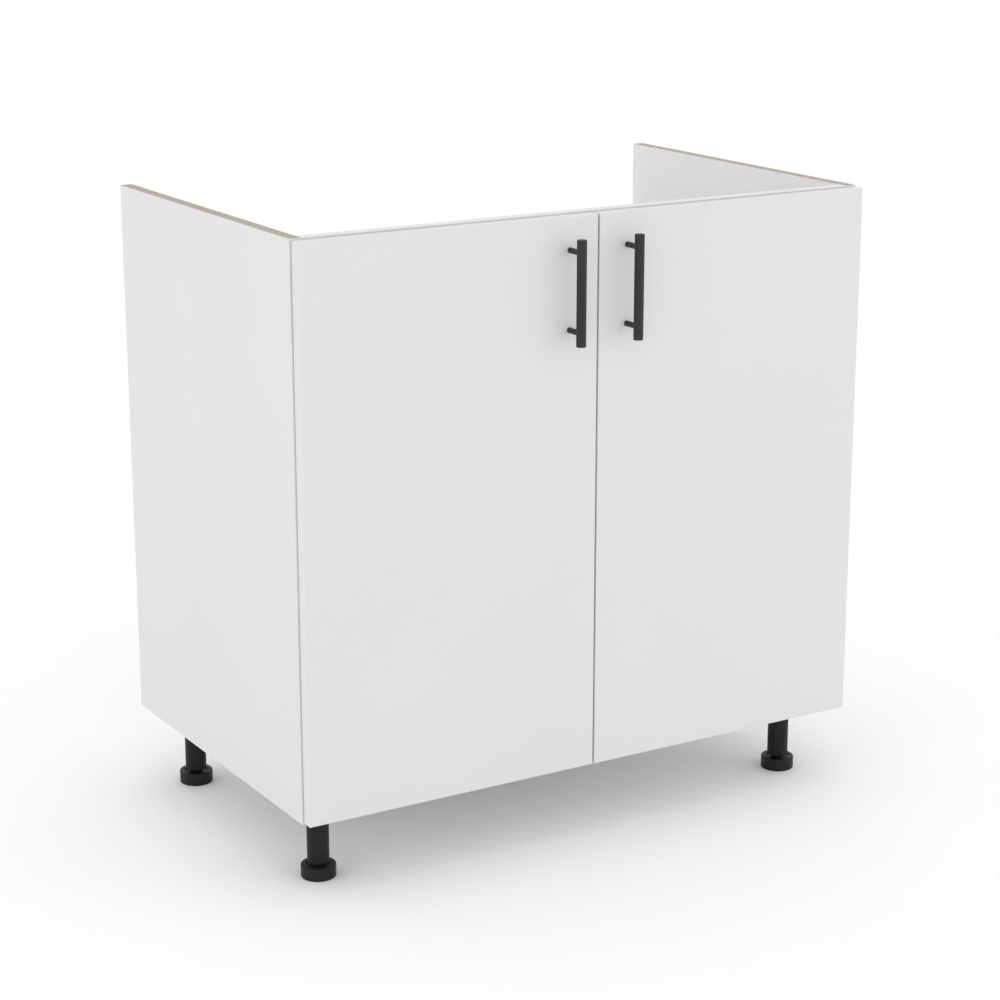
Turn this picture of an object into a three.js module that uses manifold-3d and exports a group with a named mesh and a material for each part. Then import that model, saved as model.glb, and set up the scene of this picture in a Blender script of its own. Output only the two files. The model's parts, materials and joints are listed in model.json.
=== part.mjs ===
// A sink base cabinet: an open-topped, open-backed carcass of melamine-faced chipboard on four
// adjustable legs, closed by two doors on concealed hinges and opened by two bar handles.
// Millimetres, +X to the right, +Y to the back, +Z up. The origin is on the floor, in the middle
// of the whole cabinet's footprint, handles included.
//
// Left-hand pieces are drawn at negative x; a group scaled by -1 along X makes each right-hand one.

import * as THREE from "three";
import { mergeVertices } from "three/addons/utils/BufferGeometryUtils.js";
import Module from "manifold-3d";

const wasm = await Module();
wasm.setup();

// ---------------------------------------------------------------- driving dimensions

const CABINET_WIDTH = 800;
const SIDE_DEPTH = 480;
const SIDE_HEIGHT = 700;
const BOARD = 16; // thickness of every carcass board
const FIT = 0.3; // gap left between pieces that meet on a round or a drilled surface
const OVERCUT = 1; // how far a cut runs out past the face that it opens on

const FRONT_RAIL_HEIGHT = 80;
const REAR_RAIL_HEIGHT = 100;
const REAR_RAIL_DROP = 120; // from the top of the sides to the top of the upper rear rail
const REAR_KICK_HEIGHT = 80; // the lower rear rail, which stands on the bottom panel

const DOOR_THICKNESS = 16;
const DOOR_STANDOFF = 1; // gap between the doors and the front edges of the carcass
const DOOR_INSET = 2; // from the carcass's outer face, top and bottom to the door's edges
const DOOR_MEETING_GAP = 2.5;
const DOOR_EDGE_ROUND = 0.8;

const HANDLE_CENTRES = 96; // between the two fixing holes
const HANDLE_BAR_LENGTH = 128;
const HANDLE_BAR_DIAMETER = 12;
const HANDLE_BAR_ROUND = 0.8;
const HANDLE_STANDOFF = 26; // from the door's face to the axis of the bar
const HANDLE_FROM_EDGE = 39.5; // from the door's meeting edge to the axis of the bar
const HANDLE_FROM_TOP = 88; // from the door's top edge to the middle of the handle
const POST_DIAMETER = 7;
const POST_SEAT_DEPTH = 3; // how far a post enters the bar
const HANDLE_SCREW_DIAMETER = 4;
const HANDLE_SCREW_REACH = 10; // how far the screw enters the post
const SCREW_HEAD_DIAMETER = 9;
const SCREW_HEAD_HEIGHT = 2.6;

const HINGE_BELOW_RAIL = 45; // from the front rail's lower edge to the upper hinge's middle
const HINGE_ABOVE_BOTTOM = 85; // from the bottom panel to the lower hinge's middle
const CUP_DIAMETER = 35;
const CUP_EDGE = 3; // door material left between the cup's bore and the door's outer edge
const CUP_DEPTH = 12;
const CUP_WALL = 1.2;
const CUP_RIM = 0.5; // how far the cup's rim stands proud of the door's back
const CUP_FLANGE_THICKNESS = 1.2;
const CUP_FLANGE_LENGTH = 62;
const CUP_FLANGE_WIDTH = 26;
const ARM_PIN_FROM_EDGE = 27.5; // inwards from the door's outer edge
const ARM_PIN_BEHIND_DOOR = 4.4; // backwards from the door's back
const CUP_PIN_FROM_EDGE = 9.2;
const CUP_PIN_DEPTH = 4.9; // forwards from the door's back, into the cup
const HINGE_PIN_DIAMETER = 2.2;
const LINK_THICKNESS = 2.2;
const LINK_HEIGHT = 9.6;
const LINK_EYE_DIAMETER = 5.2;
const LINK_HEEL_OUT = 2.5; // the link's first bend, outwards and forwards from the arm's pin
const LINK_HEEL_FORWARD = 6.4;
const LINK_NECK_OUT = 6.2; // its second bend, from the arm's pin too
const LINK_NECK_FORWARD = 11.5;
const LINK_TOE_IN = 4.3; // its third bend, inwards and forwards from the cup's pin
const LINK_TOE_FORWARD = 3.7;
const ARM_CHEEK = 2.5;
const ARM_WEB = 1.8; // thickness of the arm's back between its cheeks
const ARM_LENGTH = 58;
const ARM_NOSE_HEIGHT = 7;
const ARM_NOSE_LENGTH = 14;
const ARM_NOSE_REACH = 3; // from the arm's pin to the front of its nose
const ARM_MOUTH = 4; // from the arm's pin to the end of the slot that lets the link turn
const ARM_PIN_SUNK = 0.5; // from a cheek's outer face to the pin's end
const PLATE_THICKNESS = 3;
const PLATE_LINE = 37; // from the side's front edge to the plate's screws
const PLATE_SCREW_CENTRES = 32;
const PLATE_WING = 54;
const PLATE_WING_WIDTH = 16;
const PLATE_RAIL_HEIGHT = 6;
const PLATE_RAIL_LENGTH = 34;
const PLATE_SCREW_DIAMETER = 5;
const PLATE_SCREW_BITE = 10; // how far a plate's screw enters the side panel

const LEG_HEIGHT = 98.5; // from the floor to the underside of the bottom panel
const LEG_FROM_SIDE = 50; // from the cabinet's outer face to the leg's axis
const LEG_FROM_END = 60; // from the carcass's front or rear edge to the leg's axis
const COLUMN_DIAMETER = 27.5;
const FOOT_DIAMETER = 43.5;
const FOOT_HEIGHT = 16.5;
const FOOT_EDGE = 1.2;
const FOOT_RECESS_DEPTH = 2;
const FOOT_RECESS_MARGIN = 1.5; // from the column's radius to the recess's
const FOOT_GAP = 3; // between the foot's top and the column's lower end
const STEM_DIAMETER = 18;
const STEM_REACH = 45; // how far the stem enters the column
const SOCKET_DIAMETER = 64;
const SOCKET_FLANGE = 4;
const SOCKET_COLLAR_DEPTH = 14;
const SOCKET_COLLAR_WALL = 3;

const CAM_DIAMETER = 15;
const CAM_DEPTH = 12.5;
const CAM_FROM_EDGE = 34; // from a board's end to the middle of the cam
const BOLT_DIAMETER = 6;
const BOLT_BITE = 10; // how far the bolt enters the side panel
const BOTTOM_CAM_PAST_LEG = 40; // from a leg's axis to the bottom panel's cam fitting, inwards

const BUMPER_DIAMETER = 8;
const BUMPER_FROM_SIDE = 30; // from the door's meeting edge to the bumper's middle
const BUMPER_FROM_END = 2; // from the door's top or bottom edge to the bumper

const SIDES_FINE = 32;
const SIDES_ROUND = 24;
const SIDES_MEDIUM = 16;
const SIDES_SMALL = 12;
const SIDES_FEW = 8;

// ---------------------------------------------------------------- places that follow from them

const halfWidth = CABINET_WIDTH / 2;
const innerX = halfWidth - BOARD;
const doorFrontY = -(DOOR_STANDOFF + DOOR_THICKNESS);
const doorBackY = -DOOR_STANDOFF;
const handleFrontY = doorFrontY - HANDLE_STANDOFF - HANDLE_BAR_DIAMETER / 2;
const middleY = (handleFrontY + SIDE_DEPTH) / 2;

const carcassBottom = LEG_HEIGHT;
const carcassTop = LEG_HEIGHT + SIDE_HEIGHT;
const bottomPanelTop = carcassBottom + BOARD;
const rearRailTop = carcassTop - REAR_RAIL_DROP;
const rearFaceY = SIDE_DEPTH - BOARD; // front face of the rear rails

const doorOuterX = -(halfWidth - DOOR_INSET);
const doorInnerX = -DOOR_MEETING_GAP / 2;
const doorTop = carcassTop - DOOR_INSET;
const doorBottom = carcassBottom + DOOR_INSET;

const handleX = doorInnerX - HANDLE_FROM_EDGE;
const handleMiddle = doorTop - HANDLE_FROM_TOP;
const barY = doorFrontY - HANDLE_STANDOFF;
const postHeights = [handleMiddle + HANDLE_CENTRES / 2, handleMiddle - HANDLE_CENTRES / 2];
const screwSeatY = doorBackY - SCREW_HEAD_HEIGHT - FIT; // the heads lie sunk in the door's back

const hingeHeights = [
  carcassTop - FRONT_RAIL_HEIGHT - HINGE_BELOW_RAIL,
  bottomPanelTop + HINGE_ABOVE_BOTTOM,
];
const cupX = doorOuterX + CUP_EDGE + CUP_DIAMETER / 2;
const cupPin = [doorOuterX + CUP_PIN_FROM_EDGE, doorBackY - CUP_PIN_DEPTH];
const armPin = [doorOuterX + ARM_PIN_FROM_EDGE, doorBackY + ARM_PIN_BEHIND_DOOR];
const linkBends = [
  [armPin[0] - LINK_HEEL_OUT, armPin[1] - LINK_HEEL_FORWARD],
  [armPin[0] - LINK_NECK_OUT, armPin[1] - LINK_NECK_FORWARD],
  [cupPin[0] + LINK_TOE_IN, cupPin[1] - LINK_TOE_FORWARD],
];
const linkHalf = LINK_HEIGHT / 2;
const pinHole = HINGE_PIN_DIAMETER + 2 * FIT;

const legX = -(halfWidth - LEG_FROM_SIDE);
const legPlaces = { front: LEG_FROM_END, rear: SIDE_DEPTH - LEG_FROM_END };
const columnBottom = FOOT_HEIGHT + FOOT_GAP;
const columnTop = carcassBottom - SOCKET_FLANGE;

// ---------------------------------------------------------------- materials

const finish = (name, color, roughness, metalness = 0) =>
  new THREE.MeshStandardMaterial({ name, color, roughness, metalness });

const whiteBoard = finish("white_board", 0xe7e7e5, 0.5);
const whiteDoor = finish("white_door", 0xe9e9e7, 0.45);
const blackPlastic = finish("black_plastic", 0x2b2a29, 0.55);
const blackMetal = finish("black_metal", 0x3a3a3a, 0.45, 0.4);
const nickelSteel = finish("nickel_steel", 0xb9b8b4, 0.3, 1);
const zincAlloy = finish("zinc_alloy", 0x9b9c9d, 0.45, 0.9);
const clearRubber = finish("clear_rubber", 0xd9dad6, 0.35);

// ---------------------------------------------------------------- shape helpers

const WELD = 1e-4; // corners nearer than this are one corner

// A closed geometry as a solid that can be joined and cut.
function solid(geometry) {
  const bare = geometry.clone();
  bare.deleteAttribute("normal");
  bare.deleteAttribute("uv");
  const merged = mergeVertices(bare, WELD);
  return new wasm.Manifold(
    new wasm.Mesh({
      numProp: 3,
      vertProperties: merged.attributes.position.array,
      triVerts: new Uint32Array(merged.index.array),
    }),
  );
}

// A solid as a geometry again.
function surface(body) {
  const mesh = body.getMesh();
  const geometry = new THREE.BufferGeometry();
  geometry.setAttribute("position", new THREE.BufferAttribute(mesh.vertProperties, 3));
  geometry.setIndex(new THREE.BufferAttribute(mesh.triVerts, 1));
  const faceted = geometry.toNonIndexed();
  faceted.computeVertexNormals();
  return faceted;
}

const joined = (...shapes) => shapes.map(solid).reduce((a, b) => a.add(b));
const cut = (body, ...holes) => holes.map(solid).reduce((a, b) => a.subtract(b), body);

// A straight block between two opposite corners.
function block([x0, y0, z0], [x1, y1, z1]) {
  const geometry = new THREE.BoxGeometry(x1 - x0, y1 - y0, z1 - z0);
  return geometry.translate((x0 + x1) / 2, (y0 + y1) / 2, (z0 + z1) / 2);
}

// A round bar whose axis runs along X, Y or Z from `start` over `length`.
function bar(axis, diameter, start, length, sides = SIDES_SMALL) {
  const geometry = new THREE.CylinderGeometry(diameter / 2, diameter / 2, length, sides);
  geometry.translate(0, length / 2, 0);
  if (axis === "x") geometry.rotateZ(-Math.PI / 2);
  if (axis === "z") geometry.rotateX(Math.PI / 2);
  return geometry.translate(...start);
}

// A turned piece about Z: `profile` lists [radius, height] from the bottom of the axis to its top.
function turned(profile, sides = SIDES_ROUND) {
  const points = profile.map(([r, z]) => new THREE.Vector2(r, z));
  return new THREE.LatheGeometry(points, sides).rotateX(Math.PI / 2);
}

// A flat outline in (x, y), raised along Z by `height`.
function raised(outline, height) {
  const shape = new THREE.Shape(outline.map(([x, y]) => new THREE.Vector2(x, y)));
  return new THREE.ExtrudeGeometry(shape, { depth: height, bevelEnabled: false });
}

function piece(name, geometry, material) {
  const mesh = new THREE.Mesh(geometry, material);
  mesh.name = name;
  return mesh;
}

// ---------------------------------------------------------------- carcass

// The fittings at a board's left end: the [y, z] of each one's bolt, the axis of its cam, and
// whether the cam's bore opens on the board's higher or lower face along that axis.
const railFitting = (name, y, z, camSide) => ({ name, place: [y, z], camAxis: "y", camSide });
const bottomFitting = (name, y) => ({
  name,
  place: [y, carcassBottom + BOARD / 2],
  camAxis: "z",
  camSide: -1,
});
const fittings = [
  railFitting("front_rail", BOARD / 2, carcassTop - FRONT_RAIL_HEIGHT / 2, 1),
  railFitting("rear_rail", SIDE_DEPTH - BOARD / 2, rearRailTop - REAR_RAIL_HEIGHT / 2, -1),
  railFitting("rear_kick", SIDE_DEPTH - BOARD / 2, bottomPanelTop + REAR_KICK_HEIGHT / 2, -1),
  bottomFitting("bottom_front", legPlaces.front + BOTTOM_CAM_PAST_LEG),
  bottomFitting("bottom_rear", legPlaces.rear - BOTTOM_CAM_PAST_LEG),
];

// A cylinder in a board's left end, from the face that a fitting's cam opens on.
function camBar({ place: [y, z], camAxis, camSide }, diameter, depth, past) {
  const face = BOARD / 2 + past;
  const low = camSide > 0 ? face - depth : -face;
  const x = -innerX + CAM_FROM_EDGE;
  const start = camAxis === "y" ? [x, y + low, z] : [x, y, z + low];
  return bar(camAxis, diameter, start, depth, SIDES_MEDIUM);
}

const camShape = (fitting) => camBar(fitting, CAM_DIAMETER, CAM_DEPTH, 0);
const camBore = (fitting) =>
  camBar(fitting, CAM_DIAMETER + 2 * FIT, CAM_DEPTH + FIT + OVERCUT, OVERCUT);

// The bolt, from inside the side panel to the cam, or its bore with a `gap` round it.
function boltShape({ place: [y, z] }, gap = 0) {
  const start = [-innerX - BOLT_BITE - gap, y, z];
  return bar("x", BOLT_DIAMETER + 2 * gap, start, BOLT_BITE + gap + CAM_FROM_EDGE);
}

function sidePanel(side) {
  const board = solid(block([-halfWidth, 0, carcassBottom], [-innerX, SIDE_DEPTH, carcassTop]));
  const boltHoles = fittings.map((fitting) => boltShape(fitting, FIT));
  const screwHoles = hingeHeights.flatMap((z) => plateScrewHoles(z));
  return piece("side_panel_" + side, surface(cut(board, ...boltHoles, ...screwHoles)), whiteBoard);
}

// A board between the two sides, drilled at both ends for its fittings.
function crossBoard(name, [y0, z0], [y1, z1], fittingNames) {
  const board = solid(block([-innerX, y0, z0], [innerX, y1, z1]));
  const holes = fittings
    .filter((fitting) => fittingNames.includes(fitting.name))
    .flatMap((fitting) => [camBore(fitting), boltShape(fitting, FIT)]);
  const mirrored = holes.map((hole) => mirrorX(hole));
  return piece(name, surface(cut(board, ...holes, ...mirrored)), whiteBoard);
}

// A copy mirrored in the cabinet's middle plane, with its faces turned out again.
function mirrorX(geometry) {
  const copy = geometry.clone().scale(-1, 1, 1);
  const index = copy.index.array;
  for (let i = 0; i < index.length; i += 3) {
    [index[i + 1], index[i + 2]] = [index[i + 2], index[i + 1]];
  }
  return copy;
}

const crossBoards = () => [
  crossBoard(
    "bottom_panel",
    [0, carcassBottom],
    [SIDE_DEPTH, bottomPanelTop],
    ["bottom_front", "bottom_rear"],
  ),
  crossBoard(
    "front_rail",
    [0, carcassTop - FRONT_RAIL_HEIGHT],
    [BOARD, carcassTop],
    ["front_rail"],
  ),
  crossBoard(
    "rear_rail",
    [rearFaceY, rearRailTop - REAR_RAIL_HEIGHT],
    [SIDE_DEPTH, rearRailTop],
    ["rear_rail"],
  ),
  crossBoard(
    "rear_kick_rail",
    [rearFaceY, bottomPanelTop],
    [SIDE_DEPTH, bottomPanelTop + REAR_KICK_HEIGHT],
    ["rear_kick"],
  ),
];

// A cam with the bolt that it pulls, holding one board to the side panel.
function camFitting(fitting, side) {
  const body = joined(camShape(fitting), boltShape(fitting));
  return piece("cam_" + fitting.name + "_" + side, surface(body), zincAlloy);
}

// ---------------------------------------------------------------- legs

function legSocket(where, side) {
  const radius = SOCKET_DIAMETER / 2;
  const inner = COLUMN_DIAMETER / 2 + FIT;
  const collar = inner + SOCKET_COLLAR_WALL;
  const under = columnTop - SOCKET_COLLAR_DEPTH;
  const profile = [
    [0, columnTop],
    [inner, columnTop],
    [inner, under],
    [collar, under],
    [collar, columnTop],
    [radius, columnTop],
    [radius, carcassBottom],
    [0, carcassBottom],
  ];
  return piece(`leg_socket_${where}_${side}`, turned(profile), blackPlastic);
}

function legColumn(where, side) {
  const radius = COLUMN_DIAMETER / 2;
  const bore = STEM_DIAMETER / 2 + FIT;
  const boreEnd = columnBottom + STEM_REACH + FIT;
  const profile = [
    [0, boreEnd],
    [bore, boreEnd],
    [bore, columnBottom],
    [radius, columnBottom],
    [radius, columnTop],
    [0, columnTop],
  ];
  return piece(`leg_column_${where}_${side}`, turned(profile), blackPlastic);
}

function legFoot(where, side) {
  const radius = FOOT_DIAMETER / 2;
  const recess = COLUMN_DIAMETER / 2 + FOOT_RECESS_MARGIN;
  const stem = STEM_DIAMETER / 2;
  const profile = [
    [0, 0],
    [radius - FOOT_EDGE, 0],
    [radius, FOOT_EDGE],
    [radius, FOOT_HEIGHT - FOOT_EDGE],
    [radius - FOOT_EDGE, FOOT_HEIGHT],
    [recess, FOOT_HEIGHT],
    [recess, FOOT_HEIGHT - FOOT_RECESS_DEPTH],
    [stem, FOOT_HEIGHT - FOOT_RECESS_DEPTH],
    [stem, columnBottom + STEM_REACH],
    [0, columnBottom + STEM_REACH],
  ];
  return piece(`leg_foot_${where}_${side}`, turned(profile), blackPlastic);
}

function leg(where, side) {
  const group = new THREE.Group();
  group.position.set(legX, legPlaces[where], 0);
  group.add(legSocket(where, side), legColumn(where, side), legFoot(where, side));
  return group;
}

// ---------------------------------------------------------------- doors

function door(side) {
  const outline = [
    [doorOuterX, doorFrontY + DOOR_EDGE_ROUND],
    [doorOuterX + DOOR_EDGE_ROUND, doorFrontY],
    [doorInnerX - DOOR_EDGE_ROUND, doorFrontY],
    [doorInnerX, doorFrontY + DOOR_EDGE_ROUND],
    [doorInnerX, doorBackY],
    [doorOuterX, doorBackY],
  ];
  const board = raised(outline, doorTop - doorBottom).translate(0, 0, doorBottom);
  const cupBores = hingeHeights.map((z) =>
    bar("y", CUP_DIAMETER, [cupX, doorBackY - CUP_DEPTH, z], CUP_DEPTH + OVERCUT, SIDES_FINE),
  );
  const shankDiameter = HANDLE_SCREW_DIAMETER + 2 * FIT;
  const headDiameter = SCREW_HEAD_DIAMETER + 2 * FIT;
  const screwHoles = postHeights.flatMap((z) => [
    bar("y", shankDiameter, [handleX, doorFrontY - OVERCUT, z], DOOR_THICKNESS + OVERCUT),
    bar("y", headDiameter, [handleX, screwSeatY, z], SCREW_HEAD_HEIGHT + FIT + OVERCUT),
  ]);
  const body = cut(solid(board), ...cupBores, ...screwHoles);
  return piece("door_" + side, surface(body), whiteDoor);
}

function doorBumper(end, side) {
  const height = end === "upper" ? doorTop : doorBottom;
  const z = height + (end === "upper" ? -1 : 1) * (BUMPER_DIAMETER / 2 + BUMPER_FROM_END);
  const start = [doorInnerX - BUMPER_FROM_SIDE, doorBackY, z];
  const pad = bar("y", BUMPER_DIAMETER, start, DOOR_STANDOFF - FIT);
  return piece(`door_bumper_${end}_${side}`, pad, clearRubber);
}

// ---------------------------------------------------------------- handles

function handleBar(side) {
  const radius = HANDLE_BAR_DIAMETER / 2;
  const end = HANDLE_BAR_LENGTH / 2;
  const profile = [
    [0, -end],
    [radius - HANDLE_BAR_ROUND, -end],
    [radius, -end + HANDLE_BAR_ROUND],
    [radius, end - HANDLE_BAR_ROUND],
    [radius - HANDLE_BAR_ROUND, end],
    [0, end],
  ];
  const rod = turned(profile, SIDES_ROUND).translate(handleX, barY, handleMiddle);
  const seats = postHeights.map((z) => {
    const start = [handleX, barY + radius - POST_SEAT_DEPTH, z];
    return bar("y", POST_DIAMETER + 2 * FIT, start, POST_SEAT_DEPTH + OVERCUT);
  });
  return piece("handle_bar_" + side, surface(cut(solid(rod), ...seats)), blackMetal);
}

function handlePost(z, end, side) {
  const front = barY + HANDLE_BAR_DIAMETER / 2 - POST_SEAT_DEPTH + FIT;
  const post = bar("y", POST_DIAMETER, [handleX, front, z], doorFrontY - front, SIDES_MEDIUM);
  const start = [handleX, doorFrontY - HANDLE_SCREW_REACH - FIT, z];
  const holeLength = HANDLE_SCREW_REACH + FIT + OVERCUT;
  const hole = bar("y", HANDLE_SCREW_DIAMETER + 2 * FIT, start, holeLength);
  return piece(`handle_post_${end}_${side}`, surface(cut(solid(post), hole)), blackMetal);
}

function handleScrew(z, end, side) {
  const tip = doorFrontY - HANDLE_SCREW_REACH;
  const shankLength = screwSeatY - tip + SCREW_HEAD_HEIGHT / 2;
  const shank = bar("y", HANDLE_SCREW_DIAMETER, [handleX, tip, z], shankLength);
  const head = bar("y", SCREW_HEAD_DIAMETER, [handleX, screwSeatY, z], SCREW_HEAD_HEIGHT);
  return piece(`handle_screw_${end}_${side}`, surface(joined(shank, head)), zincAlloy);
}

const handle = (side) => [
  handleBar(side),
  ...postHeights.flatMap((z, i) => {
    const end = ["upper", "lower"][i];
    return [handlePost(z, end, side), handleScrew(z, end, side)];
  }),
];

// ---------------------------------------------------------------- concealed hinges

// The cup that is pressed into the door, with its flange and the pin that the link turns on.
function hingeCup(z, end, side) {
  const outer = CUP_DIAMETER / 2 - FIT;
  const inner = outer - CUP_WALL;
  const floorY = doorBackY - CUP_DEPTH + FIT;
  const flangeY = doorBackY + CUP_FLANGE_THICKNESS;
  const rimY = doorBackY + CUP_RIM;
  const shell = bar("y", 2 * outer, [cupX, floorY, z], rimY - floorY, SIDES_FINE);
  const flangeX = -innerX + 2 * FIT; // inwards of the side panel's edge
  const flange = block(
    [flangeX, doorBackY, z - CUP_FLANGE_LENGTH / 2],
    [flangeX + CUP_FLANGE_WIDTH, flangeY, z + CUP_FLANGE_LENGTH / 2],
  );
  const hollowStart = [cupX, floorY + CUP_WALL, z];
  const hollow = bar("y", 2 * inner, hollowStart, CUP_DEPTH + CUP_FLANGE_THICKNESS, SIDES_FINE);
  const rod = bar("z", HINGE_PIN_DIAMETER, [...cupPin, z - outer], 2 * outer);
  const midWall = bar("y", inner + outer, [cupX, floorY, z], rimY - floorY, SIDES_FINE);
  const pin = solid(rod).intersect(solid(midWall));
  const body = cut(joined(shell, flange), hollow).add(pin);
  return piece(`hinge_cup_${end}_${side}`, surface(body), nickelSteel);
}

// The gooseneck link, bent in plan from the arm's pin round the door's edge to the cup's pin.
function hingeLink(z, end, side) {
  const path = [armPin, ...linkBends, cupPin];
  const low = z - linkHalf;
  const strips = path.slice(1).map((to, i) => {
    const from = path[i];
    const [dx, dy] = [to[0] - from[0], to[1] - from[1]];
    const strip = new THREE.BoxGeometry(Math.hypot(dx, dy), LINK_THICKNESS, LINK_HEIGHT);
    strip.rotateZ(Math.atan2(dy, dx));
    return strip.translate(from[0] + dx / 2, from[1] + dy / 2, z);
  });
  const bends = linkBends.map((p) =>
    bar("z", LINK_THICKNESS, [...p, low], LINK_HEIGHT, SIDES_FEW),
  );
  const eyes = [armPin, cupPin].map((p) => bar("z", LINK_EYE_DIAMETER, [...p, low], LINK_HEIGHT));
  const holes = [armPin, cupPin].map((p) =>
    bar("z", pinHole, [...p, low - OVERCUT], LINK_HEIGHT + 2 * OVERCUT),
  );
  const body = cut(joined(...strips, ...bends, ...eyes), ...holes);
  return piece(`hinge_link_${end}_${side}`, surface(body), nickelSteel);
}

// The arm: a channel over the plate's rail whose two cheeks hold the pin at the nose.
function hingeArm(z, end, side) {
  const gap = linkHalf + FIT;
  const outer = gap + ARM_CHEEK;
  const [pinX, pinY] = armPin;
  const topX = pinX + ARM_NOSE_HEIGHT / 2;
  const noseX = pinX - ARM_NOSE_HEIGHT / 2;
  const baseX = -innerX + PLATE_THICKNESS + FIT;
  const noseY = pinY - ARM_NOSE_REACH;
  const stepY = noseY + ARM_NOSE_LENGTH;
  const endY = noseY + ARM_LENGTH;
  const outline = [
    [noseX, noseY],
    [topX, noseY],
    [topX, endY],
    [baseX, endY],
    [baseX, stepY + (noseX - baseX)],
    [noseX, stepY],
  ];
  const channel = raised(outline, 2 * outer).translate(0, 0, z - outer);
  const inside = block(
    [baseX - OVERCUT, noseY - OVERCUT, z - gap],
    [topX - ARM_WEB, endY + OVERCUT, z + gap],
  );
  const mouth = block(
    [noseX - OVERCUT, noseY - OVERCUT, z - gap],
    [topX + OVERCUT, pinY + ARM_MOUTH, z + gap],
  );
  const pinHalf = outer - ARM_PIN_SUNK;
  const pin = bar("z", HINGE_PIN_DIAMETER, [pinX, pinY, z - pinHalf], 2 * pinHalf);
  const body = cut(solid(channel), inside, mouth).add(solid(pin));
  return piece(`hinge_arm_${end}_${side}`, surface(body), nickelSteel);
}

function plateScrewHoles(z) {
  return [-1, 1].map((s) => {
    const start = [-innerX - PLATE_SCREW_BITE, PLATE_LINE, z + (s * PLATE_SCREW_CENTRES) / 2];
    const length = PLATE_SCREW_BITE + PLATE_THICKNESS + OVERCUT;
    return bar("x", PLATE_SCREW_DIAMETER, start, length);
  });
}

function hingePlate(z, end, side) {
  const faceX = -innerX;
  const topX = faceX + PLATE_THICKNESS;
  const half = PLATE_WING_WIDTH / 2;
  const wing = block(
    [faceX, PLATE_LINE - half, z - PLATE_WING / 2],
    [topX, PLATE_LINE + half, z + PLATE_WING / 2],
  );
  const rail = block(
    [faceX, PLATE_LINE - PLATE_RAIL_LENGTH / 2, z - linkHalf],
    [topX + PLATE_RAIL_HEIGHT, PLATE_LINE + PLATE_RAIL_LENGTH / 2, z + linkHalf],
  );
  const body = cut(joined(wing, rail), ...plateScrewHoles(z));
  return piece(`hinge_plate_${end}_${side}`, surface(body), nickelSteel);
}

const hinges = (side) =>
  hingeHeights.flatMap((z, i) => {
    const end = ["upper", "lower"][i];
    return [hingeCup, hingeLink, hingeArm, hingePlate].map((make) => make(z, end, side));
  });

// ---------------------------------------------------------------- the whole cabinet

function halfCabinet(side) {
  const group = new THREE.Group();
  group.add(sidePanel(side), door(side), ...handle(side), ...hinges(side));
  group.add(...fittings.map((fitting) => camFitting(fitting, side)));
  group.add(...["upper", "lower"].map((end) => doorBumper(end, side)));
  group.add(...Object.keys(legPlaces).map((where) => leg(where, side)));
  return group;
}

const cabinet = new THREE.Group();
cabinet.position.y = -middleY;
cabinet.add(...crossBoards(), halfCabinet("left"));
const rightHalf = halfCabinet("right");
rightHalf.scale.x = -1;
cabinet.add(rightHalf);

const sinkBaseCabinet = new THREE.Group();
sinkBaseCabinet.add(cabinet);

export default sinkBaseCabinet;
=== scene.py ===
import json
import math

import bmesh
import bpy
from mathutils import Matrix, Vector


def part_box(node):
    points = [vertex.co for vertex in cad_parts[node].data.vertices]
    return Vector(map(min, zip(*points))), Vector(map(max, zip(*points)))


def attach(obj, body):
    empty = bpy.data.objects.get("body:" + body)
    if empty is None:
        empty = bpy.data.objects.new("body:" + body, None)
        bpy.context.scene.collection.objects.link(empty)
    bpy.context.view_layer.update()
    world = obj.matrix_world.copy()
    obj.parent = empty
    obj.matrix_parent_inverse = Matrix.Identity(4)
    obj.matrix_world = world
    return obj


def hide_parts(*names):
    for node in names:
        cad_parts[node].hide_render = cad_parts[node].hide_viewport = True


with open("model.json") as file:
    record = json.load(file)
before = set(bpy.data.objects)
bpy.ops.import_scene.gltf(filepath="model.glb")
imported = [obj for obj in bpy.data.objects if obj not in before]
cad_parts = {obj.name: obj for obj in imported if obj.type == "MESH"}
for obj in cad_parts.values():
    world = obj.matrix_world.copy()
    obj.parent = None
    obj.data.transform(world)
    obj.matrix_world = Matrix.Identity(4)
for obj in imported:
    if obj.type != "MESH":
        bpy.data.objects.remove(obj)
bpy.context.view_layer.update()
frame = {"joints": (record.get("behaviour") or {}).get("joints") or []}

MM = 0.001
NEAR = 0.001 * MM  # coordinates this close are the same
SIDES = ("left", "right")
ENDS = ("upper", "lower")
PLACES = ("front", "rear")

# ---------------------------------------------------------------- sizes that only the looks have

EDGING = 1.0 * MM  # thickness of the white strip glued on a board's visible edge
EDGING_ROUND = 0.5 * MM
SAWN_EASE = 0.12 * MM  # rounding left on a sawn corner
DOOR_ROUND = 0.8 * MM  # rounding of the doors' front edges
DOOR_BACK_ROUND = 0.3 * MM
ON_FACE = 0.06 * MM  # a slab's face this near the door's front or back carries the film
PRESSED_ROUND = 0.35 * MM  # rounding on pressed and cast metal edges
BORE_PLAY = 0.3 * MM  # round a cam, a cup or a screw in its bore
BORE_MOUTH = 4 * SAWN_EASE  # how far the cutter of a cam's bore stands out of its board
FACING = 0.9  # share of its normal that a face has along the axis it faces

SCREW_HEADS = {  # radius and height of each kind of raised head
    "cup": (3.6 * MM, 1.3 * MM),
    "fixing": (3.7 * MM, 1.3 * MM),
    "adjusting": (3.0 * MM, 1.3 * MM),
    "plate": (4.2 * MM, 1.5 * MM),
    "socket": (3.6 * MM, 1.4 * MM),
}
RECESS_TAPER = 0.45  # share of a cross recess's width that is left at its bottom

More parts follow.
